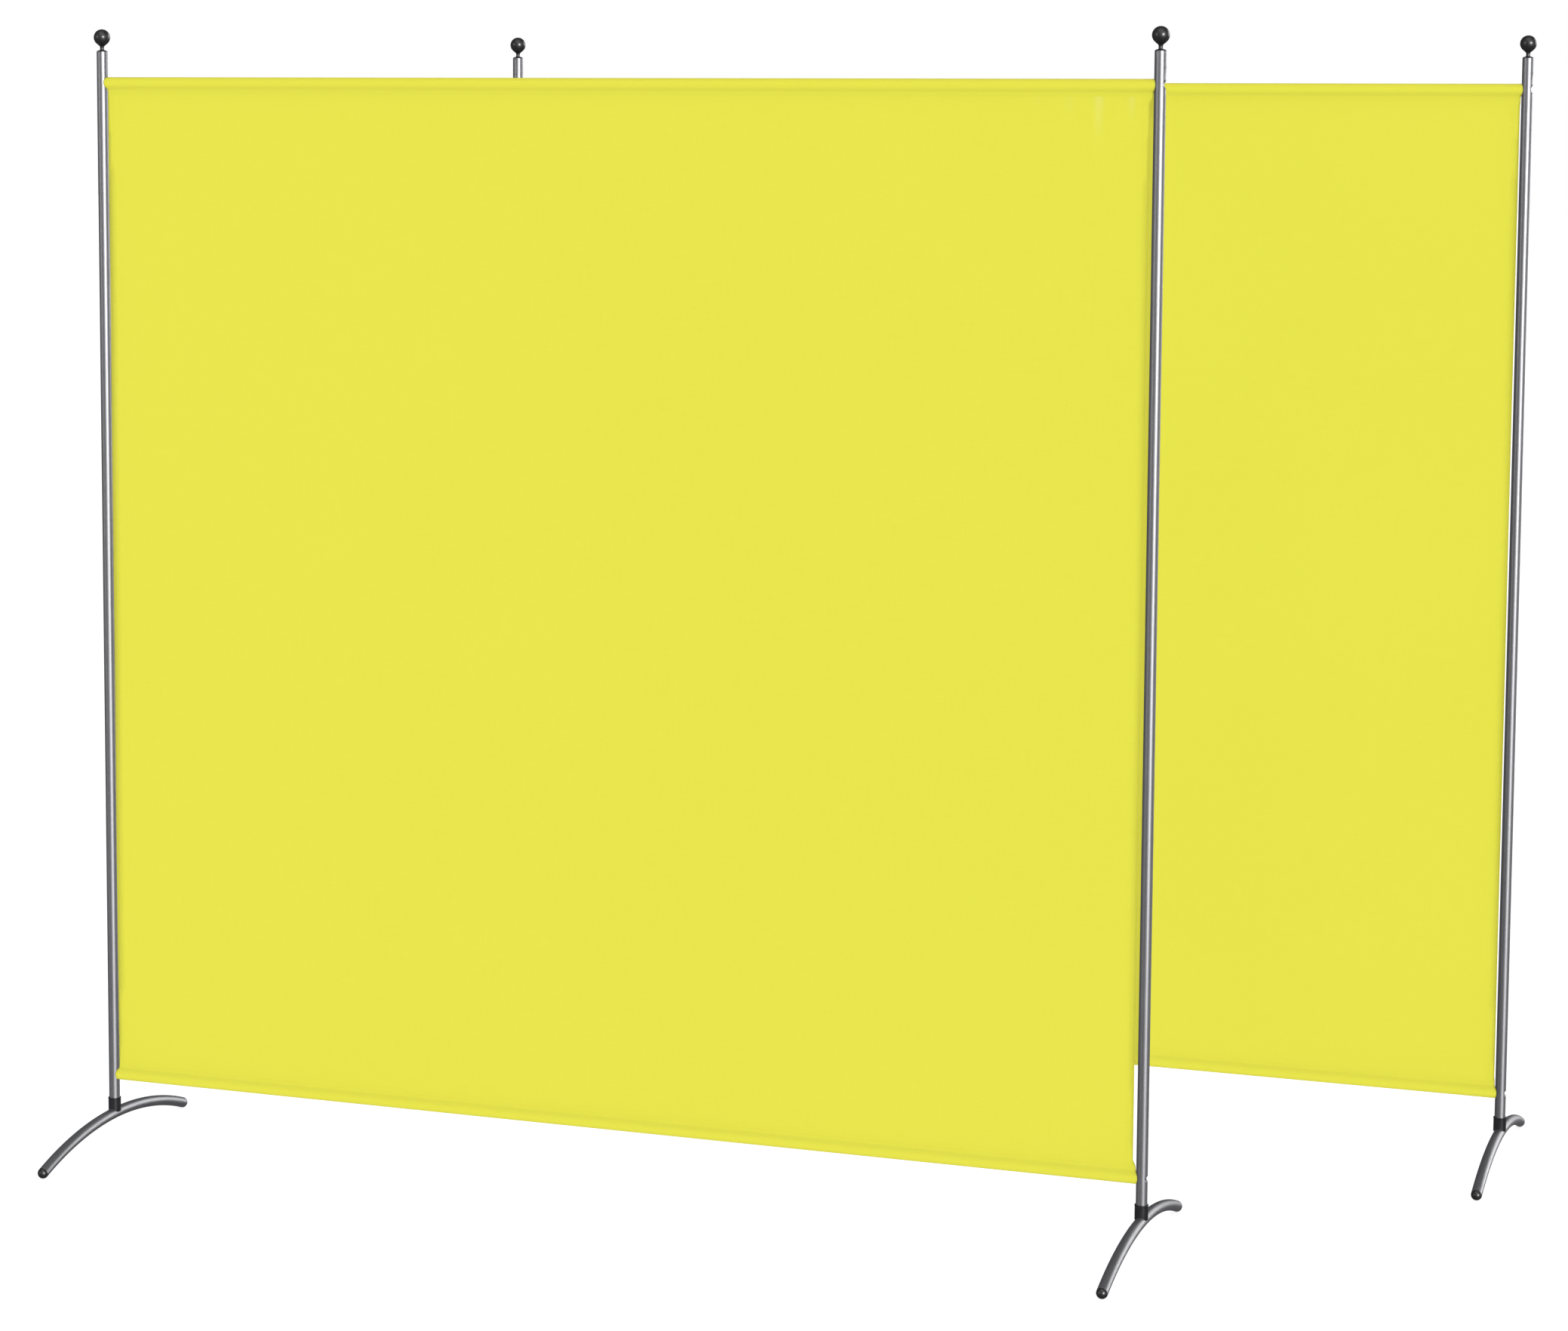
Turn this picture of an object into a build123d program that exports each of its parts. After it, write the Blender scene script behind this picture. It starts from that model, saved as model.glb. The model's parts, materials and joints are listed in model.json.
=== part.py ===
from build123d import *
import math
import os

# A set of two identical free-standing fabric screens that stand parallel and staggered.
# X runs along the screens, Y from the front screen to the rear one, and Z up from the floor.
# The origin is under the middle of the pair, on the floor. Lengths are in millimetres.
# Each screen is drawn with its left pole's axis at X = 0, Y = 0, and is then moved into place.

# The pair
OVERALL_HEIGHT = 1780
POLE_SPACING = 1693
REAR_OFFSET_X = 417
REAR_OFFSET_Y = 679

# Poles: steel tube
POLE_RADIUS = 8.5
POLE_WALL = 1.2
POLE_TOP = 1745.5
POLE_BOTTOM = 60
POLE_CHAMFER = 0.5

# Rails: steel tube inside the fabric's tunnel hems
RAIL_RADIUS = 8
RAIL_WALL = 1
RAIL_START = 12
TOP_RAIL_Z = 1697
BOTTOM_RAIL_Z = 112

# Pressed into a pole at each rail: a round socket for the rail, and a seat for the screw head.
# On the right-hand pole the seat is in a groove across it, and on the left-hand one in a round pocket.
SOCKET_RADIUS = 11
SOCKET_DEPTH = 5.5
TOP_GROOVE_RADIUS = 6.2
TOP_GROOVE_DEPTH = 3.9
TOP_GROOVE_WALL = 2.3
BOTTOM_GROOVE_RADIUS = 4.6
BOTTOM_GROOVE_DEPTH = 3
BOTTOM_GROOVE_WALL = 3.4
SEAT_X = -3.9
SEAT_CLEARANCE = 0.2
POCKET_FLOOR = 1.6

# The long, shallow hollow that runs up the right-hand pole from its top groove
CRIMP_RADIUS = 160
CRIMP_DEPTH = 1.4
CRIMP_RISE = 6
CRIMP_HALF_LENGTH = 24

# Screws through the poles into the rail ends
SCREW_RADIUS = 2.5
SCREW_HOLE_RADIUS = 2.8
SCREW_END = 26
HEAD_RADIUS = 3.6
HEAD_HEIGHT = 1.8
HEAD_ROUNDING = 0.9
HEX_RADIUS = 2
HEX_DEPTH = 1.1

# Rail end plugs
PLUG_DOME_RADIUS = 9.8
PLUG_STEM_LENGTH = 24
FIT_GAP = 0.05

# Ball finials, their neck, and the plug in the top of the pole
BALL_RADIUS = 12.75
NECK_RADIUS = 3.65
NECK_WAIST_RADIUS = 3.1
NECK_TANGENT_DEG = 40
STUD_RADIUS = 2.5
STUD_LENGTH = 14
TOP_PLUG_STEM = 20
TOP_PLUG_RIM = 0.5
TOP_PLUG_CONE = 1.5
TOP_PLUG_SHOULDER_RADIUS = 4.6

# Arched feet, of tube as thick as the poles
FOOT_CROWN_Z = 47.5
FOOT_END_Y = 227.5
FOOT_END_Z = 8.25
CAP_RADIUS = 8.5
CAP_STEM_LENGTH = 16

# Collar between a pole and its foot
COLLAR_RADIUS = 10
COLLAR_LIP_RADIUS = 10.3
COLLAR_LIP_HEIGHT = 2.2
COLLAR_LIP_ROUNDING = 0.5
COLLAR_TOP = 73.5
COLLAR_BOTTOM = 51
RUNNING_GAP = 0.1
END_GAP = 0.3

# Foot bolt and the insert that it screws into
BOLT_RADIUS = 3
BOLT_HOLE_RADIUS = 3.3
BOLT_ACCESS_RADIUS = 5.2
BOLT_END = 82
BOLT_HEAD_RADIUS = 4.5
BOLT_HEAD_HEIGHT = 3.4
BOLT_HEX_RADIUS = 2.3
BOLT_HEX_DEPTH = 2
INSERT_LENGTH = 25

# Fabric
FABRIC_THICKNESS = 1.2
TUNNEL_RADIUS = 9
TUNNEL_BORE_RADIUS = 8.1
TUNNEL_SEAM_DROP = 15
TUNNEL_START = 9.8
FABRIC_WIDTH = 1668.5
FRONT_FABRIC_START = 10
REAR_FABRIC_START = 13.5

BALL_Z = OVERALL_HEIGHT - BALL_RADIUS
SOCKET_X = POLE_RADIUS - SOCKET_DEPTH + SOCKET_RADIUS
CRIMP_X = -(POLE_RADIUS - CRIMP_DEPTH + CRIMP_RADIUS)
NECK_BOTTOM = POLE_TOP + TOP_PLUG_RIM + TOP_PLUG_CONE

# The foot is one arc through its crown and its two ends
FOOT_DROP = FOOT_CROWN_Z - FOOT_END_Z
FOOT_ARC_RADIUS = (FOOT_END_Y**2 + FOOT_DROP**2) / (2 * FOOT_DROP)
FOOT_HALF_ANGLE = math.degrees(math.asin(FOOT_END_Y / FOOT_ARC_RADIUS))
FOOT_ARC_AXIS = Axis((0, 0, FOOT_CROWN_Z - FOOT_ARC_RADIUS), (1, 0, 0))


def post(radius, low, high):
    """An upright cylinder on the pole's axis."""
    return Pos(0, 0, (low + high) / 2) * Cylinder(radius, high - low)


def bar(radius, start, end, z):
    """A cylinder along X."""
    return Pos((start + end) / 2, 0, z) * Rot(0, 90, 0) * Cylinder(radius, end - start)


def arched_bar(radius, start_angle, end_angle):
    """A cylinder bent along the foot's arc, between two angles from the crown, in degrees."""
    section = Pos(0, 0, FOOT_CROWN_Z) * Rot(90, 0, 0) * Circle(radius)
    bent = revolve(section, FOOT_ARC_AXIS, end_angle - start_angle)
    return bent.rotate(FOOT_ARC_AXIS, start_angle)


def cross_bar(radius, x, z):
    """A cylinder along Y, right through the pole."""
    return Pos(x, 0, z) * Rot(90, 0, 0) * Cylinder(radius, 4 * POLE_RADIUS)


def plain_pole():
    tube = post(POLE_RADIUS, POLE_BOTTOM, POLE_TOP) - post(POLE_RADIUS - POLE_WALL, POLE_BOTTOM, POLE_TOP)
    return chamfer(tube.edges().group_by(Axis.Z)[-1].sort_by(SortBy.LENGTH)[-1], POLE_CHAMFER)


def pressed(tube, z, seat, seat_wall):
    """The tube with a socket for a rail on its inner side, a seat on its outer side and the screw's hole."""
    slug = post(POLE_RADIUS, z - 2 * SOCKET_RADIUS, z + 2 * SOCKET_RADIUS)
    socket = Pos(SOCKET_X, 0, z) * Sphere(SOCKET_RADIUS)
    socket_wall = Pos(SOCKET_X, 0, z) * Sphere(SOCKET_RADIUS + POLE_WALL)
    hole = bar(SCREW_HOLE_RADIUS, -POLE_RADIUS, POLE_RADIUS, z)
    tube = tube + (slug & socket_wall) + (slug & seat_wall)
    return tube - socket - seat - hole


def pocketed_pole():
    """The left-hand pole, whose outer side is plain but for a round pocket at each screw."""
    tube = plain_pole()
    radius = HEAD_RADIUS + SEAT_CLEARANCE
    for z in (TOP_RAIL_Z, BOTTOM_RAIL_Z):
        pocket = bar(radius, -2 * POLE_RADIUS, SEAT_X, z)
        pocket_wall = bar(radius + POLE_WALL, -2 * POLE_RADIUS, SEAT_X + POCKET_FLOOR, z)
        tube = pressed(tube, z, pocket, pocket_wall)
    return tube


def grooved_pole():
    """The right-hand pole, before it is mirrored, with a groove across its outer side at each screw."""
    tube = plain_pole()
    crimp_z = TOP_RAIL_Z + CRIMP_RISE
    slug = post(POLE_RADIUS, crimp_z - CRIMP_HALF_LENGTH, crimp_z + CRIMP_HALF_LENGTH)
    tube = tube + (slug & cross_bar(CRIMP_RADIUS + POLE_WALL, CRIMP_X, crimp_z))
    tube = tube - cross_bar(CRIMP_RADIUS, CRIMP_X, crimp_z)
    for z, radius, depth, wall in (
        (TOP_RAIL_Z, TOP_GROOVE_RADIUS, TOP_GROOVE_DEPTH, TOP_GROOVE_WALL),
        (BOTTOM_RAIL_Z, BOTTOM_GROOVE_RADIUS, BOTTOM_GROOVE_DEPTH, BOTTOM_GROOVE_WALL),
    ):
        groove_x = -(POLE_RADIUS - depth + radius)
        groove = cross_bar(radius, groove_x, z) + bar(HEAD_RADIUS + SEAT_CLEARANCE, groove_x, SEAT_X, z)
        tube = pressed(tube, z, groove, cross_bar(radius + wall, groove_x, z))
    return tube


def rail(z):
    end = POLE_SPACING - RAIL_START
    return bar(RAIL_RADIUS, RAIL_START, end, z) - bar(RAIL_RADIUS - RAIL_WALL, RAIL_START, end, z)


def rail_end_plug(z):
    head = bar(RAIL_RADIUS, 0, RAIL_START, z) & (Pos(SOCKET_X, 0, z) * Sphere(PLUG_DOME_RADIUS))
    stem = bar(RAIL_RADIUS - RAIL_WALL - FIT_GAP, RAIL_START, RAIL_START + PLUG_STEM_LENGTH, z)
    return head + stem - bar(SCREW_RADIUS + FIT_GAP, 0, RAIL_START + PLUG_STEM_LENGTH, z)


def rail_screw(z):
    head_top = SEAT_X - HEAD_HEIGHT
    head = bar(HEAD_RADIUS, head_top, SEAT_X, z)
    head = fillet(head.edges().group_by(Axis.X)[0], HEAD_ROUNDING)
    recess = extrude(Plane((head_top, 0, z), z_dir=(1, 0, 0)) * RegularPolygon(HEX_RADIUS, 6), HEX_DEPTH)
    return head + bar(SCREW_RADIUS, SEAT_X, SCREW_END, z) - recess


def finial():
    """A ball that runs down in a cone to a thin, waisted neck, with a threaded stud below."""
    angle = math.radians(NECK_TANGENT_DEG)
    cone_r = BALL_RADIUS * math.sin(angle)
    cone_z = BALL_Z - BALL_RADIUS * math.cos(angle)
    neck_top = cone_z - (cone_r - NECK_RADIUS) * math.tan(angle)
    stud_bottom = NECK_BOTTOM - STUD_LENGTH
    outline = [
        Line((0, stud_bottom), (STUD_RADIUS, stud_bottom)),
        Line((STUD_RADIUS, stud_bottom), (STUD_RADIUS, NECK_BOTTOM)),
        Line((STUD_RADIUS, NECK_BOTTOM), (NECK_RADIUS, NECK_BOTTOM)),
        ThreePointArc(
            (NECK_RADIUS, NECK_BOTTOM),
            (NECK_WAIST_RADIUS, (NECK_BOTTOM + neck_top) / 2),
            (NECK_RADIUS, neck_top),
        ),
        Line((NECK_RADIUS, neck_top), (cone_r, cone_z)),
        ThreePointArc((cone_r, cone_z), (BALL_RADIUS, BALL_Z), (0, OVERALL_HEIGHT)),
        Line((0, OVERALL_HEIGHT), (0, stud_bottom)),
    ]
    return revolve(Plane.XZ * make_face(outline), Axis.Z)


def top_plug():
    stem = post(POLE_RADIUS - POLE_WALL - FIT_GAP, POLE_TOP - TOP_PLUG_STEM, POLE_TOP)
    rim_radius = POLE_RADIUS - POLE_CHAMFER / 2
    rim_top = POLE_TOP + TOP_PLUG_RIM
    rim = post(rim_radius, POLE_TOP, rim_top)
    cone = Pos(0, 0, rim_top + TOP_PLUG_CONE / 2) * Cone(rim_radius, TOP_PLUG_SHOULDER_RADIUS, TOP_PLUG_CONE)
    return stem + rim + cone - post(STUD_RADIUS + FIT_GAP, POLE_TOP - TOP_PLUG_STEM, NECK_BOTTOM)


def bottom_insert():
    top = POLE_BOTTOM + INSERT_LENGTH
    outer = post(POLE_RADIUS - POLE_WALL - FIT_GAP, POLE_BOTTOM, top)
    return outer - post(BOLT_RADIUS + RUNNING_GAP, POLE_BOTTOM, top)


def foot():
    outer = arched_bar(POLE_RADIUS, -FOOT_HALF_ANGLE, FOOT_HALF_ANGLE)
    inner = arched_bar(POLE_RADIUS - POLE_WALL, -FOOT_HALF_ANGLE, FOOT_HALF_ANGLE)
    holes = post(BOLT_HOLE_RADIUS, 0, POLE_BOTTOM) + post(BOLT_ACCESS_RADIUS, 0, FOOT_CROWN_Z)
    return outer - inner - holes


def foot_cap():
    """The cap in the foot's front end, with a small flat underneath where it stands on the floor."""
    stem_angle = math.degrees(CAP_STEM_LENGTH / FOOT_ARC_RADIUS)
    stem = arched_bar(POLE_RADIUS - POLE_WALL - FIT_GAP, -stem_angle, 0)
    behind = Pos(0, CAP_RADIUS, FOOT_CROWN_Z) * Box(2 * CAP_RADIUS, 2 * CAP_RADIUS, 2 * CAP_RADIUS)
    dome = (Pos(0, 0, FOOT_CROWN_Z) * Sphere(CAP_RADIUS)) - behind
    cap = (stem + dome).rotate(FOOT_ARC_AXIS, FOOT_HALF_ANGLE)
    below_floor = Pos(0, -FOOT_END_Y, -CAP_RADIUS) * Box(4 * CAP_RADIUS, 4 * CAP_RADIUS, 2 * CAP_RADIUS)
    return cap - below_floor


def collar():
    """A cup for the pole's lower end, with two lobes that straddle the foot's tube."""
    lip = post(COLLAR_LIP_RADIUS, COLLAR_TOP - COLLAR_LIP_HEIGHT, COLLAR_TOP)
    lip = fillet(lip.edges(), COLLAR_LIP_ROUNDING)
    sleeve = post(COLLAR_RADIUS, COLLAR_BOTTOM, COLLAR_TOP - COLLAR_LIP_HEIGHT / 2) + lip
    cup = post(POLE_RADIUS + RUNNING_GAP, POLE_BOTTOM - END_GAP, COLLAR_TOP)
    saddle = arched_bar(POLE_RADIUS + FIT_GAP, -FOOT_HALF_ANGLE, FOOT_HALF_ANGLE)
    return sleeve - cup - saddle - post(BOLT_HOLE_RADIUS, COLLAR_BOTTOM, COLLAR_TOP)


def foot_bolt():
    """The bolt, whose head bears on the foot tube's wall from inside the tube."""
    head_top = FOOT_CROWN_Z + math.sqrt((POLE_RADIUS - POLE_WALL) ** 2 - BOLT_HEAD_RADIUS**2) - FIT_GAP
    head_bottom = head_top - BOLT_HEAD_HEIGHT
    head = post(BOLT_HEAD_RADIUS, head_bottom, head_top)
    head = fillet(head.edges().group_by(Axis.Z)[0], HEAD_ROUNDING)
    recess = extrude(Pos(0, 0, head_bottom) * RegularPolygon(BOLT_HEX_RADIUS, 6), BOLT_HEX_DEPTH)
    return head + post(BOLT_RADIUS, head_top, BOLT_END) - recess


def tunnel(z, towards_panel):
    """A tunnel hem round a rail, drawn in to the seam below or above it."""
    ring = Circle(TUNNEL_RADIUS)
    tangent = math.acos(TUNNEL_RADIUS / TUNNEL_SEAM_DROP)
    side_y = TUNNEL_RADIUS * math.sin(tangent)
    side_z = TUNNEL_RADIUS * math.cos(tangent) * towards_panel
    seam_z = TUNNEL_SEAM_DROP * towards_panel
    half = FABRIC_THICKNESS / 2
    corners = ((side_y, side_z), (half, seam_z), (-half, seam_z), (-side_y, side_z))
    wedge = make_face(Polyline(*corners, close=True))
    section = ring + wedge - Circle(TUNNEL_BORE_RADIUS)
    length = POLE_SPACING - 2 * TUNNEL_START
    return extrude(Plane((TUNNEL_START, 0, z), x_dir=(0, 1, 0), z_dir=(1, 0, 0)) * section, length)


def fabric(start):
    """One sheet with a tunnel hem at the top and the bottom. start is the left edge of the sheet."""
    low = BOTTOM_RAIL_Z + TUNNEL_SEAM_DROP - 1
    high = TOP_RAIL_Z - TUNNEL_SEAM_DROP + 1
    centre = Pos(start + FABRIC_WIDTH / 2, 0, (low + high) / 2)
    sheet = centre * Box(FABRIC_WIDTH, FABRIC_THICKNESS, high - low)
    return sheet + tunnel(TOP_RAIL_Z, -1) + tunnel(BOTTOM_RAIL_Z, 1)


def right_hand(shape):
    """The same piece for the right-hand pole, mirrored so that its inner side faces the fabric."""
    return Pos(POLE_SPACING, 0, 0) * mirror(shape, Plane.YZ)


def screen(name, fabric_start):
    """All the pieces of one screen, by node name."""
    top_screw = rail_screw(TOP_RAIL_Z)
    bottom_screw = rail_screw(BOTTOM_RAIL_Z)
    pieces = {
        "top_rail": rail(TOP_RAIL_Z),
        "bottom_rail": rail(BOTTOM_RAIL_Z),
        "fabric_panel": fabric(fabric_start),
        "rail_screws": Compound(
            children=[top_screw, bottom_screw, right_hand(top_screw), right_hand(bottom_screw)]
        ),
    }
    pieces["left_pole"] = pocketed_pole()
    pieces["right_pole"] = right_hand(grooved_pole())
    one_side = {
        "top_rail_plug": rail_end_plug(TOP_RAIL_Z),
        "bottom_rail_plug": rail_end_plug(BOTTOM_RAIL_Z),
        "ball_finial": finial(),
        "pole_top_plug": top_plug(),
        "pole_bottom_insert": bottom_insert(),
        "collar": collar(),
        "foot": foot(),
        "foot_front_cap": foot_cap(),
        "foot_back_cap": mirror(foot_cap(), Plane.XZ),
        "foot_bolt": foot_bolt(),
    }
    for piece, shape in one_side.items():
        pieces["left_" + piece] = shape
        pieces["right_" + piece] = right_hand(shape)
    return {name + "_" + piece: shape for piece, shape in pieces.items()}


first_pole_x = -(POLE_SPACING + REAR_OFFSET_X) / 2
first_pole_y = -REAR_OFFSET_Y / 2
front = Pos(first_pole_x, first_pole_y, 0)
rear = Pos(first_pole_x + REAR_OFFSET_X, first_pole_y + REAR_OFFSET_Y, 0)

os.makedirs("parts", exist_ok=True)
for place, pieces in (
    (front, screen("front", FRONT_FABRIC_START)),
    (rear, screen("rear", REAR_FABRIC_START)),
):
    for node, shape in pieces.items():
        export_step(place * shape, "parts/" + node + ".step")
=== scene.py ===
import json
import math

import bpy
import numpy as np
from mathutils import Matrix, Vector


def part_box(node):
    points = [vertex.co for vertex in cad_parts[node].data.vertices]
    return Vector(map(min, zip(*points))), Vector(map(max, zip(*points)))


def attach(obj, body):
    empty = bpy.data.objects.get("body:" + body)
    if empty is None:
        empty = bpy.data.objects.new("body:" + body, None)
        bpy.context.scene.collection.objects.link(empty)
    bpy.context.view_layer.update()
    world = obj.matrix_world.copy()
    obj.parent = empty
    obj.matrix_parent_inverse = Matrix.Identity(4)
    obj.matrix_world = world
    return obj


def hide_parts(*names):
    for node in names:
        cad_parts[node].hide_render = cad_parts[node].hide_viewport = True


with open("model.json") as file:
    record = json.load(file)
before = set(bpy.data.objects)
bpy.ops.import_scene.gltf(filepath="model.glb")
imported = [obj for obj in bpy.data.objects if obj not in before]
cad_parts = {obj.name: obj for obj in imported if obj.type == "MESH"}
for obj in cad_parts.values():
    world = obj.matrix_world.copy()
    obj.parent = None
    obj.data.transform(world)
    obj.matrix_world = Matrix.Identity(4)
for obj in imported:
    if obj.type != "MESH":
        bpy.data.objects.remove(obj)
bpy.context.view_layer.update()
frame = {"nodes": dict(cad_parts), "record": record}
nodes = frame["nodes"]
record = frame["record"]
SCREENS = ("front", "rear")
SIDES = ("left", "right")

# Camera, placed from the foot of the front screen's left pole
CAMERA_FROM_POLE = Vector((2.958, -5.277, 1.654))
CAMERA_YAW = -0.3476
CAMERA_PITCH = 0.1036
CAMERA_ROLL = 0.005
SENSOR_WIDTH = 36.0
LENS = 86.95
SHIFT_X = 0.0356
SHIFT_Y = -0.101

# Cloth: one sheet of thin woven fabric, sewn round both rails
CLOTH_THICKNESS = 0.00042
TUNNEL_RADIUS = 0.0085
SEAM_DROP = 0.015
HEM_LAYER = 0.00052
HEM_DEPTH = 0.0025
SIDE_HEM_WIDTH = 0.010
HEM_BACK = 0.00130
HEM_STEP = 0.008
HEM_END_GAP = 0.0006
HEM_WAVE_DEPTH = 0.00025
HEM_SWAY_START = 0.008
EAR_SPHERE_RADIUS = 0.0104
EAR_SPHERE_CENTRE = 0.0140
EAR_FLAT_START = 0.0098
EAR_SCALES = (0.36, 0.48, 0.62, 0.76, 0.89)
TUNNEL_COLUMNS = 240
FINEST_COLUMNS = 960
SEAM_COLUMNS = 480
PANEL_COLUMNS = 120
PANEL_ROW = 0.024
TUNNEL_TURNS = 17
FOLD_ROUNDING = 0.0004

# How the cloth stands off its plane: depths, and how far from an edge or a seam each one reaches
SAG_DEPTH = 0.0008
BELLY_DEPTH = 0.0007
CURL_DEPTH = 0.0014
CURL_REACH = 0.022
HELD_REACH = 0.35
SEAM_WAVE_DEPTH = 0.00016
SEAM_WAVE_REACH = 0.012
SEAM_WAVE_SPREAD = 0.010
PUCKER_DEPTH = 0.00018
STITCH_PULL = 0.00006
PUCKER_REACH = 0.003
CORNER_REACH = 0.012
WOBBLE_LENGTH = 3.0
FIRST_SEED = 40
SEED_STEP = 20

# How a crease starts below its seam, and how much of it gets a painted sheen: paler colour that stands in for
# the light on its slopes
CREASE_FADE = 0.006
SHEEN_FADE = 0.004
SHEEN_LENGTH_SHARE = 0.8
SHEEN_FULL_DEPTH = 0.0016

# Sewing thread
STITCH_PITCH = 0.0035
STITCH_LENGTH = 0.0029
STITCH_RADIUS = 0.00023
STITCH_SLANT = 0.06
STITCH_SIDES = 6
SEAM_INSET = 0.0004
SEAM_END = 0.002
BACK_SEAM_SHIFT = 0.0006
SEAM_THREAD_LIFT = 0.00008
SIDE_THREAD_LIFT = 0.00004
BACK_THREAD_LIFT = 0.0001
SIDE_SEAM_INSET = 0.0015
SIDE_SEAM_END = 0.006

# Floor and studio
FLOOR_REACH = 60.0
WORLD_FILL = (0.675, 0.675, 0.675, 1)
WORLD_SEEN = (1, 1, 1, 1)
WORLD_MIRRORED = (0.105, 0.105, 0.11, 1)


def centre_of(name):
    low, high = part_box(name)
    return (low + high) / 2


def smooth_step(t):
    t = np.clip(t, 0, 1)
    return t * t * (3 - 2 * t)


def wobble(seed, spacing):
    """A smooth random line: values for positions from 0 to WOBBLE_LENGTH, with knots that far apart."""
    knots = np.random.RandomState(seed).uniform(-1, 1, int(WOBBLE_LENGTH / spacing) + 4)

    def at(x):
        t = np.clip(np.asarray(x, float) / spacing, 0, len(knots) - 2.001)
        i = t.astype(int)
        f = smooth_step(t - i)
        return knots[i] * (1 - f) + knots[i + 1] * f

    return at


# ---------------------------------------------------------------- the cloth's shape

# Single creases that hang from the top seam: distance from the right edge, half width, length, depth
CREASES = {
    "front": (
        (0.074, 0.0058, 0.062, 0.00150),
        (0.026, 0.0046, 0.036, 0.00110),
        (0.118, 0.0070, 0.034, 0.00040),
        (0.165, 0.0055, 0.026, 0.00030),
    ),
    "rear": (),
}


class Panel:
    """Where one screen's cloth is: its rails and poles, its side edges and how it ripples."""

    def __init__(self, screen, seed):
        self.screen = screen
        left = centre_of(screen + "_left_pole")
        right = centre_of(screen + "_right_pole")
        self.left_pole = left.x
        self.right_pole = right.x
        self.y = left.y
        self.top = centre_of(screen + "_top_rail").z
        self.bottom = centre_of(screen + "_bottom_rail").z
        mesh = nodes[screen + "_fabric_panel"].data
        middle = (self.top + self.bottom) / 2
        edge_x = []
        for edge in mesh.edges:
            a, b = (mesh.vertices[i].co for i in edge.vertices)
            if (a.z - middle) * (b.z - middle) < 0:
                edge_x += [a.x, b.x]
        self.left = min(edge_x)
        self.right = max(edge_x)
        self.width = self.right - self.left
        self.seam_top = self.top - SEAM_DROP
        self.seam_bottom = self.bottom + SEAM_DROP
        self.height = self.seam_top - self.seam_bottom
        self.sag = wobble(seed, 0.37)
        self.belly = wobble(seed + 1, 0.52)
        self.left_curl = wobble(seed + 2, 0.29)
        self.right_curl = wobble(seed + 3, 0.33)
        self.seam_ripple = wobble(seed + 4, 0.0052)
        self.seam_wave = wobble(seed + 5, 0.0115)
        self.ripple_reach = wobble(seed + 6, 0.017)
        self.creases = CREASES[screen]

    def ripple(self, x, z):
        """How far the cloth stands off its plane at x and z."""
        u = np.clip((x - self.left) / self.width, 0, 1) * self.width
        down = np.clip(self.seam_top - z, 0, self.height)
        up = self.height - down
        held = smooth_step(down / HELD_REACH) * smooth_step(up / HELD_REACH)
        off = SAG_DEPTH * self.sag(u) * held + BELLY_DEPTH * self.belly(down) * held
        left_near = np.exp(-u / CURL_REACH)
        right_near = np.exp(-(self.width - u) / CURL_REACH)
        off += CURL_DEPTH * held * (self.left_curl(down) * left_near + self.right_curl(down) * right_near)
        reach = SEAM_WAVE_REACH + SEAM_WAVE_SPREAD * (0.5 + 0.5 * self.ripple_reach(u))
        wave = SEAM_WAVE_DEPTH * self.seam_wave(u)
        fade = smooth_step(np.minimum(down, up) / PUCKER_REACH)
        off += wave * (np.exp(-down / reach) + np.exp(-up / reach)) * fade
        for from_right, half, length, depth in self.creases:
            across = np.exp(-(((self.width - u - from_right) / half) ** 2))
            off += depth * across * np.exp(-((down / length) ** 2)) * smooth_step(down / CREASE_FADE)
        return off

    def crease_painted_sheen(self, x, z):
        """How much painted sheen the cloth gets along its creases, from 0 to 1: paler colour standing in for
        the highlight on each crease.
        """
        down = self.seam_top - np.asarray(z, float)
        sheen_amount = np.zeros(np.broadcast(x, down).shape)
        for from_right, half, length, depth in self.creases:
            across = np.exp(-(((self.right - np.asarray(x) - from_right) / half) ** 2))
            along = smooth_step(down / SHEEN_FADE) * np.exp(-((down / (SHEEN_LENGTH_SHARE * length)) ** 2))
            sheen_amount = np.maximum(sheen_amount, across * along * min(1, depth / SHEEN_FULL_DEPTH))
        return sheen_amount * (down > 0)

    def gather(self, x):
        """The small puckers that the stitches pull up along a seam."""
        u = np.clip((x - self.left) / self.width, 0, 1) * self.width
        return PUCKER_DEPTH * self.seam_ripple(u) + STITCH_PULL * np.sin(2 * math.pi * u / STITCH_PITCH)


def bend(a, direction_a, b, direction_b, count):
    """Points of a smooth curve from a to b, with those directions at its ends, without its first point."""
    a, b, direction_a, direction_b = (np.array(p, float) for p in (a, b, direction_a, direction_b))
    reach = np.linalg.norm(b - a) * 0.42
    c, d = a + direction_a * reach, b - direction_b * reach
    t = (np.arange(1, count + 1) / count)[:, None]
    return list((1 - t) ** 3 * a + 3 * (1 - t) ** 2 * t * c + 3 * (1 - t) * t**2 * d + t**3 * b)


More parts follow.
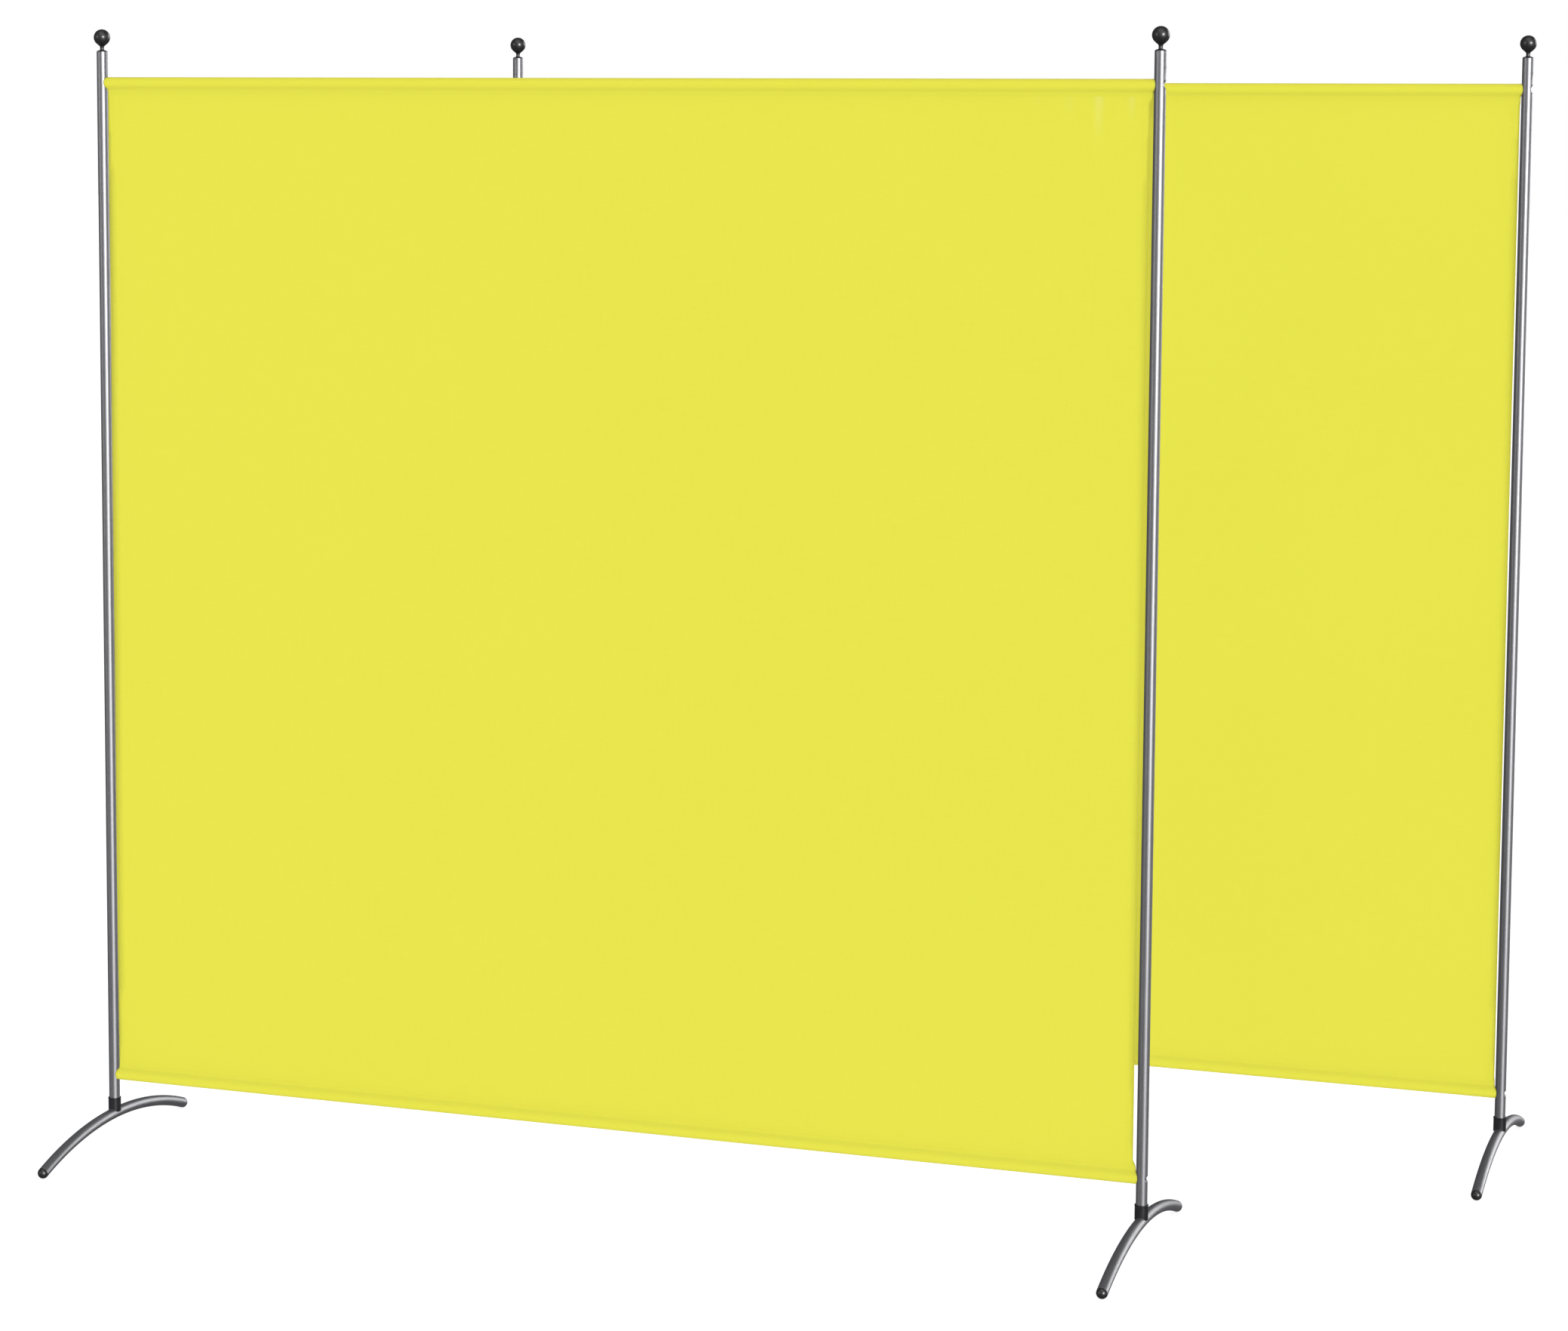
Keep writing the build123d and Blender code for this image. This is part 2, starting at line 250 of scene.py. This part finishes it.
def tunnel_path():
    """The top tunnel hem in cross-section.

    It runs from its turned-in edge up behind the rail, over it and down to the seam. Each point is
    (y, z, kind, columns, pucker), from the rail's axis. kind is hem or ear.
    """
    rows = []
    inner, outer = HEM_LAYER, 2 * HEM_LAYER
    low = -SEAM_DROP - HEM_DEPTH
    for y, z in (
        (inner, -SEAM_DROP + 0.004),
        (inner, -SEAM_DROP),
        (inner, low + FOLD_ROUNDING),
        ((inner + outer) / 2, low),
        (outer, low + FOLD_ROUNDING),
        (outer, -SEAM_DROP - 0.0008),
    ):
        rows.append((y, z, "hem", TUNNEL_COLUMNS, 0.3))
    angle = math.acos(TUNNEL_RADIUS / SEAM_DROP)
    side = np.array((TUNNEL_RADIUS * math.sin(angle), -TUNNEL_RADIUS * math.cos(angle)))
    heading = (math.cos(angle), math.sin(angle))
    start = (outer, -SEAM_DROP)
    rows.append((*start, "ear", TUNNEL_COLUMNS, 0.5))
    for k, (y, z) in enumerate(bend(start, (0, 1), side, heading, 5)):
        rows.append((y, z, "ear", TUNNEL_COLUMNS, 0.3 * (1 - k / 4)))
    first = math.atan2(side[1], side[0])
    sweep = math.pi - 2 * first
    for k in range(1, TUNNEL_TURNS + 1):
        a = first + sweep * k / TUNNEL_TURNS
        columns = TUNNEL_COLUMNS if k < TUNNEL_TURNS - 2 else SEAM_COLUMNS
        rows.append((TUNNEL_RADIUS * math.cos(a), TUNNEL_RADIUS * math.sin(a), "ear", columns, 0.0))
    last = np.array((-side[0], side[1]))
    down = bend(last, (heading[0], -heading[1]), (0, -SEAM_DROP), (0, -1), 7)
    for k, (y, z) in enumerate(down):
        columns = SEAM_COLUMNS if k < 4 else FINEST_COLUMNS
        rows.append((y, z, "ear", columns, smooth_step((k + 1) / 7)))
    return rows


def panel_path(height):
    """The flat part in cross-section, as (distance below the top seam, columns, pucker)."""
    top = [0.0012, 0.0026, 0.0044, 0.0066, 0.0094, 0.013, 0.0175]
    top += [0.023, 0.030, 0.039, 0.050, 0.064, 0.082, 0.102]
    bottom = [0.0012, 0.0026, 0.0046, 0.0074, 0.0112, 0.0165]
    bottom += [0.024, 0.035, 0.050, 0.068, 0.086, 0.102]
    columns_top = [FINEST_COLUMNS] * 3 + [SEAM_COLUMNS] * 8 + [PANEL_COLUMNS * 2] * 3
    columns_bottom = [FINEST_COLUMNS] * 2 + [SEAM_COLUMNS] * 5 + [PANEL_COLUMNS * 2] * 5
    rows = [(d, c, math.exp(-d / PUCKER_REACH)) for d, c in zip(top, columns_top)]
    count = int((height - top[-1] - bottom[-1]) / PANEL_ROW)
    for k in range(1, count):
        rows.append((top[-1] + (height - top[-1] - bottom[-1]) * k / count, PANEL_COLUMNS, 0.0))
    upward = reversed(list(zip(bottom, columns_bottom)))
    rows += [(height - d, c, math.exp(-d / PUCKER_REACH)) for d, c in upward]
    return rows


def ear_x(distance):
    """How far from a pole's axis the tunnel's end stands, at that distance from the rail's axis."""
    flat = (EAR_SPHERE_CENTRE - EAR_FLAT_START) ** 2
    inside = np.maximum(EAR_SPHERE_RADIUS**2 - np.square(distance), flat)
    return EAR_SPHERE_CENTRE - np.sqrt(inside)


def cloth_rows(panel):
    """Every row of the sheet's points, as (left ear, main, right ear)."""
    rows = []
    hem_top = tunnel_path()
    profile = [(y, panel.top + z, kind, c, p, panel.top) for y, z, kind, c, p in hem_top]
    profile += [(0.0, panel.seam_top - d, "panel", c, p, None) for d, c, p in panel_path(panel.height)]
    profile += [(y, panel.bottom - z, kind, c, p, panel.bottom) for y, z, kind, c, p in reversed(hem_top)]
    for y, z, kind, columns, pucker, axis in profile:
        from_seam = min(abs(z - panel.seam_top), abs(z - panel.seam_bottom))
        settle = float(smooth_step(from_seam / CORNER_REACH))
        if kind == "ear":
            start = end = float(ear_x(math.hypot(y, z - axis)))
        else:
            start = EAR_FLAT_START + (panel.left - panel.left_pole - EAR_FLAT_START) * settle
            end = EAR_FLAT_START + (panel.right_pole - panel.right - EAR_FLAT_START) * settle
        x = np.linspace(panel.left_pole + start, panel.right_pole - end, columns + 1)
        if kind == "panel":
            off_y = y + panel.ripple(x, np.full_like(x, z)) - pucker * np.abs(panel.gather(x))
            off_z = np.zeros_like(x)
        else:
            out = np.array((y, z - axis))
            out = out / max(np.linalg.norm(out), 1e-6)
            if kind == "ear":
                swell = pucker * np.abs(panel.gather(x)) * 0.8
                share = smooth_step(abs(y) / 0.004)
                off_y = y + swell * (out[0] * share - (1 - share) * (1 if y < 0.0003 else -0.3))
                off_z = swell * out[1] * share
            else:
                off_y = y + pucker * 0.5 * panel.gather(x)
                off_z = pucker * 0.4 * panel.gather(x + 0.3)
        main = np.stack([x, panel.y + off_y, z + off_z], 1)
        ears = ([], [])
        if kind == "ear":
            for scale in EAR_SCALES:
                distance = math.hypot(y, z - axis) * scale
                reach = float(ear_x(distance))
                point = (panel.y + y * scale, axis + (z - axis) * scale)
                ears[0].append((panel.left_pole + reach, *point))
                ears[1].append((panel.right_pole - reach, *point))
        rows.append((ears[0], main, ears[1][::-1]))
    return rows


def sheet_mesh(name, rows, panel):
    """A mesh through the rows; where neighbours have different counts of columns, one is double the other."""
    points, faces, previous = [], [], None
    for left_ear, main, right_ear in rows:
        base = len(points)
        points += list(left_ear) + [tuple(p) for p in main] + list(right_ear)
        ears = len(left_ear)
        here = {
            "left": list(range(base, base + ears + 1)),
            "main": list(range(base + ears, base + ears + len(main))),
            "right": list(range(base + ears + len(main) - 1, len(points))),
        }
        if previous is not None:
            for part in ("left", "main", "right"):
                a, b = previous[part], here[part]
                if part != "main" and (len(a) < 2 or len(b) < 2):
                    continue
                faces += strip(a, b)
        previous = here
    mesh = bpy.data.meshes.new(name)
    mesh.from_pydata(points, [], faces)
    mesh.polygons.foreach_set("use_smooth", [True] * len(mesh.polygons))
    mesh.update()
    # The crease attribute carries the painted sheen: how far paler colour stands in for the highlight on each
    # crease
    places = np.array(points)
    sheen_amount = mesh.attributes.new("crease", "FLOAT", "POINT")
    sheen_amount.data.foreach_set("value", panel.crease_painted_sheen(places[:, 0], places[:, 2]).astype(np.float32))
    return mesh


def strip(a, b):
    """Faces between two lines of points, of equal counts or with one twice the other."""
    if len(a) == len(b):
        return [(a[i], a[i + 1], b[i + 1], b[i]) for i in range(len(a) - 1)]
    faces = []
    coarse, fine = (a, b) if len(a) < len(b) else (b, a)
    step = (len(fine) - 1) // (len(coarse) - 1)
    for i in range(len(coarse) - 1):
        half = step * i + step // 2
        corners = fine[step * i : step * (i + 1) + 1]
        first, second = corners[: step // 2 + 1], corners[step // 2 :]
        found = [(coarse[i], q, p) for p, q in zip(first, first[1:])]
        found.append((coarse[i], coarse[i + 1], fine[half]))
        found += [(coarse[i + 1], q, p) for p, q in zip(second, second[1:])]
        if coarse is b:
            found = [f[::-1] for f in found]
        faces += found
    return faces


def add_object(name, mesh, body, slot_name):
    piece = bpy.data.objects.new(name, mesh)
    bpy.context.scene.collection.objects.link(piece)
    mesh.materials.append(materials[slot_name])
    piece.visible_glossy = False
    piece.visible_diffuse = False
    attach(piece, body)
    return piece


def side_hem(panel, side):
    """The double-turned hem down one side of the sheet, on its back, with the fold that joins it on."""
    # Points of the cross-section: distance inwards from the sheet's edge, and behind the sheet
    outline = [
        (0.0004, -0.00021),
        (-0.0001, -0.00018),
        (-0.0004, 0.0000),
        (-0.0005, 0.0004),
        (-0.0004, 0.0009),
        (0.0000, 0.00122),
        (0.0006, HEM_BACK),
        (0.0050, 0.00124),
        (SIDE_HEM_WIDTH - 0.0006, HEM_BACK),
        (SIDE_HEM_WIDTH, 0.00118),
        (SIDE_HEM_WIDTH + 0.0003, 0.0008),
        (SIDE_HEM_WIDTH, 0.0004),
        (SIDE_HEM_WIDTH - 0.0006, 0.00024),
        (0.0050, 0.00024),
        (0.0006, 0.00024),
    ]
    inward = 1 if side == "left" else -1
    low = panel.seam_bottom + HEM_DEPTH + HEM_END_GAP
    high = panel.seam_top - HEM_DEPTH - HEM_END_GAP
    levels = np.linspace(low, high, int((high - low) / HEM_STEP))
    wave = wobble(11 + len(side), 0.016)
    points, faces = [], []
    n = len(outline)
    for k, z in enumerate(levels):
        settle = smooth_step(min(z - panel.seam_bottom, panel.seam_top - z) / CORNER_REACH)
        pole = panel.left_pole if side == "left" else panel.right_pole
        edge = panel.left if side == "left" else panel.right
        edge = pole + inward * EAR_FLAT_START + (edge - pole - inward * EAR_FLAT_START) * float(settle)
        for inside, back in outline:
            sway = HEM_WAVE_DEPTH * float(wave(z)) if inside > HEM_SWAY_START else 0
            x = edge + inward * (inside + sway)
            y = panel.y + back + float(panel.ripple(np.array(x), np.array(z)))
            points.append((x, y, z))
        if k:
            ring = (k - 1) * n
            for i in range(n):
                j = (i + 1) % n
                quad = (ring + i, ring + j, ring + n + j, ring + n + i)
                faces.append(quad if inward > 0 else quad[::-1])
    first, last = list(range(n)), list(range(len(points) - n, len(points)))
    faces.append(tuple(first[::-1]) if inward > 0 else tuple(first))
    faces.append(tuple(last) if inward > 0 else tuple(last[::-1]))
    mesh = bpy.data.meshes.new(panel.screen + "_" + side + "_side_hem")
    mesh.from_pydata(points, [], faces)
    mesh.polygons.foreach_set("use_smooth", [len(p.vertices) == 4 for p in mesh.polygons])
    mesh.update()
    return mesh


def stitch_lines(panel):
    """The middles of the stitches, with the direction each lies along: 'x' or 'z'."""
    places = []
    left, right = panel.left + SEAM_END, panel.right - SEAM_END
    count = int((right - left) / STITCH_PITCH)
    xs = left + STITCH_PITCH * np.arange(count)
    face = CLOTH_THICKNESS / 2
    for z, toward in ((panel.seam_top - SEAM_INSET, -1), (panel.seam_bottom + SEAM_INSET, 1)):
        lift = panel.ripple(xs, np.full_like(xs, z))
        front = panel.y - face - SEAM_THREAD_LIFT - np.abs(panel.gather(xs)) * 0.9 + lift
        places += [(x, y, z, "x") for x, y in zip(xs, front)]
        back = panel.y + 2 * HEM_LAYER + face + BACK_THREAD_LIFT
        places += [(x, back, z + toward * BACK_SEAM_SHIFT, "x") for x in xs]
    low, high = panel.seam_bottom + SIDE_SEAM_END, panel.seam_top - SIDE_SEAM_END
    zs = low + STITCH_PITCH * np.arange(int((high - low) / STITCH_PITCH))
    for x in (panel.left + SIDE_HEM_WIDTH - SIDE_SEAM_INSET, panel.right - SIDE_HEM_WIDTH + SIDE_SEAM_INSET):
        lift = panel.ripple(np.full_like(zs, x), zs)
        places += [(x, panel.y - face - SIDE_THREAD_LIFT + o, z, "z") for z, o in zip(zs, lift)]
        places += [(x, panel.y + HEM_BACK + o, z, "z") for z, o in zip(zs, lift)]
    return places


def stitching_mesh(name, places):
    """Every stitch as a short, round-ended bar of thread."""
    stations = [(-0.5, 0.0), (-0.36, 0.9), (0.0, 1.0), (0.36, 0.9), (0.5, 0.0)]
    shape = []
    for along, size in stations:
        if size == 0:
            shape.append((along, 0, 0))
            continue
        for k in range(STITCH_SIDES):
            a = 2 * math.pi * k / STITCH_SIDES
            shape.append((along, size * math.cos(a), size * math.sin(a)))
    shape = np.array(shape) * (STITCH_LENGTH, STITCH_RADIUS, STITCH_RADIUS)
    ring = [1 + STITCH_SIDES * k for k in range(3)]
    tip = len(shape) - 1
    faces = []
    for k in range(STITCH_SIDES):
        n = (k + 1) % STITCH_SIDES
        faces.append((0, ring[0] + n, ring[0] + k))
        for a, b in zip(ring, ring[1:]):
            faces.append((a + k, a + n, b + n, b + k))
        faces.append((ring[2] + k, ring[2] + n, tip))
    points, all_faces = [], []
    slant = np.random.RandomState(5).uniform(-STITCH_SLANT, STITCH_SLANT, len(places))
    for i, (x, y, z, way) in enumerate(places):
        c, s = math.cos(slant[i]), math.sin(slant[i])
        a, b, up = shape[:, 0], shape[:, 1], shape[:, 2]
        along, across = a * c - up * s, a * s + up * c
        moved = (along, b, across) if way == "x" else (-across, b, along)
        base = len(shape) * i
        points.append(np.stack(moved, 1) + (x, y, z))
        all_faces += [tuple(base + v for v in f) for f in faces]
    mesh = bpy.data.meshes.new(name)
    mesh.from_pydata([tuple(p) for p in np.concatenate(points)], [], all_faces)
    mesh.polygons.foreach_set("use_smooth", [True] * len(mesh.polygons))
    mesh.update()
    return mesh


# ---------------------------------------------------------------- materials


class Graph:
    """A material's nodes, built with short calls."""

    def __init__(self, name):
        self.material = bpy.data.materials.new(name)
        self.material.use_nodes = True
        self.tree = self.material.node_tree
        self.tree.nodes.clear()
        output = self.tree.nodes.new("ShaderNodeOutputMaterial")
        self.shader = self.tree.nodes.new("ShaderNodeBsdfPrincipled")
        self.link(self.shader.outputs["BSDF"], output.inputs["Surface"])
        self.place = self.tree.nodes.new("ShaderNodeTexCoord").outputs["Object"]

    def link(self, source, target):
        self.tree.links.new(source, target)

    def set(self, **values):
        for key, value in values.items():
            self.shader.inputs[key.replace("_", " ")].default_value = value

    def put(self, socket, value):
        if isinstance(value, bpy.types.NodeSocket):
            self.link(value, socket)
        else:
            socket.default_value = value

    def math(self, operation, *values, clamp=False):
        node = self.tree.nodes.new("ShaderNodeMath")
        node.operation = operation
        node.use_clamp = clamp
        for socket, value in zip(node.inputs, values):
            self.put(socket, value)
        return node.outputs[0]

    def noise(self, scale, detail=2.0, roughness=0.5, stretch=(1, 1, 1), distortion=0.0):
        spread = self.tree.nodes.new("ShaderNodeMapping")
        spread.inputs["Scale"].default_value = stretch
        self.link(self.place, spread.inputs["Vector"])
        node = self.tree.nodes.new("ShaderNodeTexNoise")
        self.link(spread.outputs[0], node.inputs["Vector"])
        node.inputs["Scale"].default_value = scale
        node.inputs["Detail"].default_value = detail
        node.inputs["Roughness"].default_value = roughness
        node.inputs["Distortion"].default_value = distortion
        return node.outputs["Fac"]

    def ramp(self, value, *stops):
        node = self.tree.nodes.new("ShaderNodeValToRGB")
        self.link(value, node.inputs["Fac"])
        elements = node.color_ramp.elements
        while len(elements) < len(stops):
            elements.new(0.5)
        for element, (position, colour) in zip(elements, stops):
            element.position = position
            element.color = (*colour, 1) if isinstance(colour, tuple) else (colour, colour, colour, 1)
        return node.outputs["Color"]

    def mix(self, share, a, b, blend="MIX"):
        node = self.tree.nodes.new("ShaderNodeMix")
        node.data_type = "RGBA"
        node.blend_type = blend
        self.put(node.inputs[0], share)
        for socket, value in ((node.inputs[6], a), (node.inputs[7], b)):
            self.put(socket, (*value, 1) if isinstance(value, tuple) else value)
        return node.outputs[2]

    def bump(self, height, distance, strength=1.0, normal=None):
        node = self.tree.nodes.new("ShaderNodeBump")
        node.inputs["Strength"].default_value = strength
        node.inputs["Distance"].default_value = distance
        self.link(height, node.inputs["Height"])
        if normal is not None:
            self.link(normal, node.inputs["Normal"])
        return node.outputs["Normal"]

    def axes(self):
        node = self.tree.nodes.new("ShaderNodeSeparateXYZ")
        self.link(self.place, node.inputs[0])
        return node.outputs


def yellow_fabric():
    g = Graph("yellow_fabric")
    x, y, z = g.axes()
    pitch = 0.00062
    crossing = g.math("ADD", z, g.math("MULTIPLY", y, 0.7))
    warp = g.math("SINE", g.math("MULTIPLY", x, math.pi / pitch))
    weft = g.math("SINE", g.math("MULTIPLY", crossing, math.pi / pitch))
    over = g.math("MULTIPLY_ADD", g.math("MULTIPLY", warp, weft), 2.0, 0.5, clamp=True)
    warp_high = g.math("ABSOLUTE", warp)
    weft_high = g.math("ABSOLUTE", weft)
    height = g.math("ADD", g.math("MULTIPLY", over, warp_high),
                    g.math("MULTIPLY", g.math("SUBTRACT", 1.0, over), weft_high))
    slub_up = g.noise(1500, 2, 0.6, (1, 1, 0.03))
    slub_across = g.noise(1500, 2, 0.6, (0.03, 1, 1))
    slub = g.math("ADD", slub_up, slub_across)
    dye = g.noise(2.2, 3, 0.6)
    low, high = (0.835, 0.810, 0.060), (0.860, 0.836, 0.072)
    colour = g.mix(g.math("MULTIPLY_ADD", slub, 1.6, -1.1, clamp=True), low, high)
    # Painted shade: the colour is darker and a deeper yellow where the weave is low, between the threads
    colour = g.mix(g.math("MULTIPLY", g.math("SUBTRACT", 1.0, height), 0.12), colour, (0.72, 0.66, 0.03))
    colour = g.mix(g.math("MULTIPLY", dye, 0.12), colour, (0.90, 0.87, 0.12))
    # Painted sheen: along the creases the colour is mixed toward a pale yellow that stands in for the
    # highlight on their slopes
    sheen_attribute = g.tree.nodes.new("ShaderNodeAttribute")
    sheen_attribute.attribute_name = "crease"
    sheen_streaks = g.noise(260, 3, 0.6, (1, 1, 0.12))
    painted_sheen = g.math("MULTIPLY", sheen_attribute.outputs["Fac"], g.math("MULTIPLY_ADD", sheen_streaks, 0.9, -0.12, clamp=True))
    colour = g.mix(g.math("MULTIPLY", painted_sheen, 0.8), colour, (0.93, 0.92, 0.34))
    g.link(colour, g.shader.inputs["Base Color"])
    rough = g.math("MULTIPLY_ADD", slub, 0.12, 0.70, clamp=True)
    g.link(rough, g.shader.inputs["Roughness"])
    g.set(Specular_IOR_Level=0.18, Sheen_Weight=0.12, Sheen_Roughness=0.45)
    g.shader.inputs["Sheen Tint"].default_value = (1.0, 1.0, 0.85, 1)
    weave = g.bump(height, 0.00008, 0.5)
    threads = g.bump(slub, 0.00005, 0.4, weave)
    g.link(threads, g.shader.inputs["Normal"])
    return g.material


def powder_coated_steel():
    g = Graph("powder_coated_steel")
    flake = g.noise(5200, 2, 0.7)
    mottle = g.noise(950, 2, 0.6)
    peel = g.noise(620, 3, 0.55)
    wear = g.noise(26, 4, 0.6)
    dull, middle, bright = (0.36, 0.365, 0.38), (0.48, 0.485, 0.50), (0.64, 0.64, 0.65)
    colour = g.ramp(flake, (0.32, dull), (0.55, middle), (0.74, bright))
    colour = g.mix(g.math("MULTIPLY_ADD", mottle, 1.6, -0.55, clamp=True), (0.34, 0.34, 0.355), colour)
    colour = g.mix(g.math("MULTIPLY", wear, 0.12), colour, (0.38, 0.38, 0.39))
    g.link(colour, g.shader.inputs["Base Color"])
    rough = g.math("MULTIPLY_ADD", wear, 0.06, 0.34)
    rough = g.math("MULTIPLY_ADD", mottle, 0.14, rough)
    g.link(rough, g.shader.inputs["Roughness"])
    g.set(Metallic=0.93)
    fine = g.bump(peel, 0.00007, 0.7)
    g.link(g.bump(flake, 0.000012, 0.5, fine), g.shader.inputs["Normal"])
    return g.material


def moulded(name, roughness, grain_scale, grain_depth, tone, coat=0.0):
    g = Graph(name)
    grain = g.noise(grain_scale, 3, 0.6)
    smear = g.noise(40, 3, 0.6)
    dark = tuple(0.8 * t for t in tone)
    light = tuple(1.5 * t for t in tone)
    g.link(g.ramp(smear, (0.3, dark), (0.7, light)), g.shader.inputs["Base Color"])
    rough = g.math("MULTIPLY_ADD", smear, 0.10 * roughness / 0.4, roughness - 0.03)
    g.link(rough, g.shader.inputs["Roughness"])
    g.set(Specular_IOR_Level=0.5 + 0.5 * coat, Coat_Weight=coat, Coat_Roughness=0.20)
    g.link(g.bump(grain, grain_depth, 0.5), g.shader.inputs["Normal"])
    return g.material


def plated_screws():
    g = Graph("plated_screws")
    scratch = g.noise(1400, 3, 0.6, (0.2, 1, 1))
    cloud = g.noise(160, 3, 0.6)
    g.link(g.ramp(cloud, (0.3, (0.70, 0.71, 0.74)), (0.7, (0.86, 0.86, 0.86))), g.shader.inputs["Base Color"])
    g.link(g.math("MULTIPLY_ADD", scratch, 0.16, 0.16), g.shader.inputs["Roughness"])
    g.set(Metallic=1.0)
    g.link(g.bump(scratch, 0.00002, 0.4), g.shader.inputs["Normal"])
    return g.material


materials = {
    "yellow_fabric": yellow_fabric(),
    "powder_coated_steel": powder_coated_steel(),
    "gloss_black_plastic": moulded(
        "gloss_black_plastic",
        roughness=0.46,
        grain_scale=900,
        grain_depth=0.000006,
        tone=(0.006, 0.006, 0.007),
        coat=0.6,
    ),
    "black_plastic": moulded(
        "black_plastic", roughness=0.34, grain_scale=2600, grain_depth=0.00003, tone=(0.013, 0.013, 0.015)
    ),
    "plated_screws": plated_screws(),
}
for part in record["subparts"]:
    piece = nodes[part["node"]]
    piece.data.materials.clear()
    piece.data.materials.append(materials[part["material_slot"]])

# ---------------------------------------------------------------- the cloths

for number, screen in enumerate(SCREENS):
    panel = Panel(screen, FIRST_SEED + SEED_STEP * number)
    body = screen + "_frame"
    rows = cloth_rows(panel)
    sheet = sheet_mesh(screen + "_fabric_sheet", rows, panel)
    cloth = add_object(sheet.name, sheet, body, "yellow_fabric")
    thick = cloth.modifiers.new("thickness", "SOLIDIFY")
    thick.thickness = CLOTH_THICKNESS
    thick.offset = 0
    thick.use_even_offset = False
    for side in SIDES:
        hem = side_hem(panel, side)
        add_object(hem.name, hem, body, "yellow_fabric")
    thread = stitching_mesh(screen + "_stitching", stitch_lines(panel))
    add_object(thread.name, thread, body, "yellow_fabric")
    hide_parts(screen + "_fabric_panel")

# ---------------------------------------------------------------- floor, light and camera

floor_mesh = bpy.data.meshes.new("floor")
corners = [(x * FLOOR_REACH, y * FLOOR_REACH, 0) for x, y in ((-1, -1), (1, -1), (1, 1), (-1, 1))]
floor_mesh.from_pydata(corners, [], [(0, 1, 2, 3)])
floor = bpy.data.objects.new("floor", floor_mesh)
bpy.context.scene.collection.objects.link(floor)
plain = Graph("pale_floor")
plain.set(Roughness=0.9, Specular_IOR_Level=0.1)
plain.shader.inputs["Base Color"].default_value = (0.45, 0.45, 0.46, 1)
plain.shader.inputs["Emission Color"].default_value = (1, 1, 1, 1)
plain.shader.inputs["Emission Strength"].default_value = 0.80
floor_mesh.materials.append(plain.material)
floor.visible_glossy = False
floor.visible_diffuse = False


def sun(name, azimuth, elevation, strength, angle, glossy=True, diffuse=True):
    """A distant lamp. Angles are in degrees, azimuth from straight in front of the screens (-Y) to +X."""
    lamp = bpy.data.lights.new(name, "SUN")
    lamp.energy = strength
    lamp.angle = math.radians(angle)
    holder = bpy.data.objects.new(name, lamp)
    bpy.context.scene.collection.objects.link(holder)
    a, e = math.radians(azimuth), math.radians(elevation)
    toward = Vector((math.sin(a) * math.cos(e), -math.cos(a) * math.cos(e), math.sin(e)))
    holder.rotation_mode = "QUATERNION"
    holder.rotation_quaternion = toward.to_track_quat("Z", "Y")
    holder.visible_glossy = glossy
    holder.visible_diffuse = diffuse


sun("key_right", azimuth=47, elevation=9, strength=3.00, angle=14, diffuse=False)
sun("key_left", azimuth=-42, elevation=9, strength=0.36, angle=20, diffuse=False)
sun("edge_back_right", azimuth=140, elevation=6, strength=0.40, angle=30, diffuse=False)
sun("ceiling", azimuth=10, elevation=62, strength=0.60, angle=60, diffuse=False)
sun("fill_front", azimuth=14, elevation=2, strength=0.99, angle=1.5, glossy=False)
sun("fill_back_left", azimuth=205, elevation=12, strength=0.5, angle=30, glossy=False)
sun("fill_back_right", azimuth=155, elevation=12, strength=0.5, angle=30)

world = bpy.data.worlds.new("studio")
bpy.context.scene.world = world
world.use_nodes = True
tree = world.node_tree
tree.nodes.clear()
path = tree.nodes.new("ShaderNodeLightPath")
sky = tree.nodes.new("ShaderNodeBackground")
seen = tree.nodes.new("ShaderNodeMix")
seen.data_type = "RGBA"
seen.inputs[6].default_value = WORLD_FILL
seen.inputs[7].default_value = WORLD_SEEN
tree.links.new(path.outputs["Is Camera Ray"], seen.inputs[0])
dim = tree.nodes.new("ShaderNodeMix")
dim.data_type = "RGBA"
dim.inputs[7].default_value = WORLD_MIRRORED
tree.links.new(path.outputs["Is Glossy Ray"], dim.inputs[0])
tree.links.new(seen.outputs[2], dim.inputs[6])
tree.links.new(dim.outputs[2], sky.inputs["Color"])
out = tree.nodes.new("ShaderNodeOutputWorld")
tree.links.new(sky.outputs[0], out.inputs["Surface"])

bpy.context.scene.view_settings.view_transform = "Standard"

yaw, pitch, roll = CAMERA_YAW, CAMERA_PITCH, CAMERA_ROLL
forward = Vector((math.sin(yaw) * math.cos(pitch), math.cos(yaw) * math.cos(pitch), -math.sin(pitch)))
level_right = Vector((math.cos(yaw), -math.sin(yaw), 0))
level_up = level_right.cross(forward)
right = math.cos(roll) * level_right + math.sin(roll) * level_up
up = math.cos(roll) * level_up - math.sin(roll) * level_right
pole_foot = centre_of("front_left_pole")
pole_foot.z = 0
camera_data = bpy.data.cameras.new("camera")
camera_data.sensor_width = SENSOR_WIDTH
camera_data.lens = LENS
camera_data.shift_x = SHIFT_X
camera_data.shift_y = SHIFT_Y
camera = bpy.data.objects.new("camera", camera_data)
bpy.context.scene.collection.objects.link(camera)
turn = Matrix((right, up, -forward)).transposed().to_4x4()
camera.matrix_world = Matrix.Translation(pole_foot + CAMERA_FROM_POLE) @ turn
bpy.context.scene.camera = camera
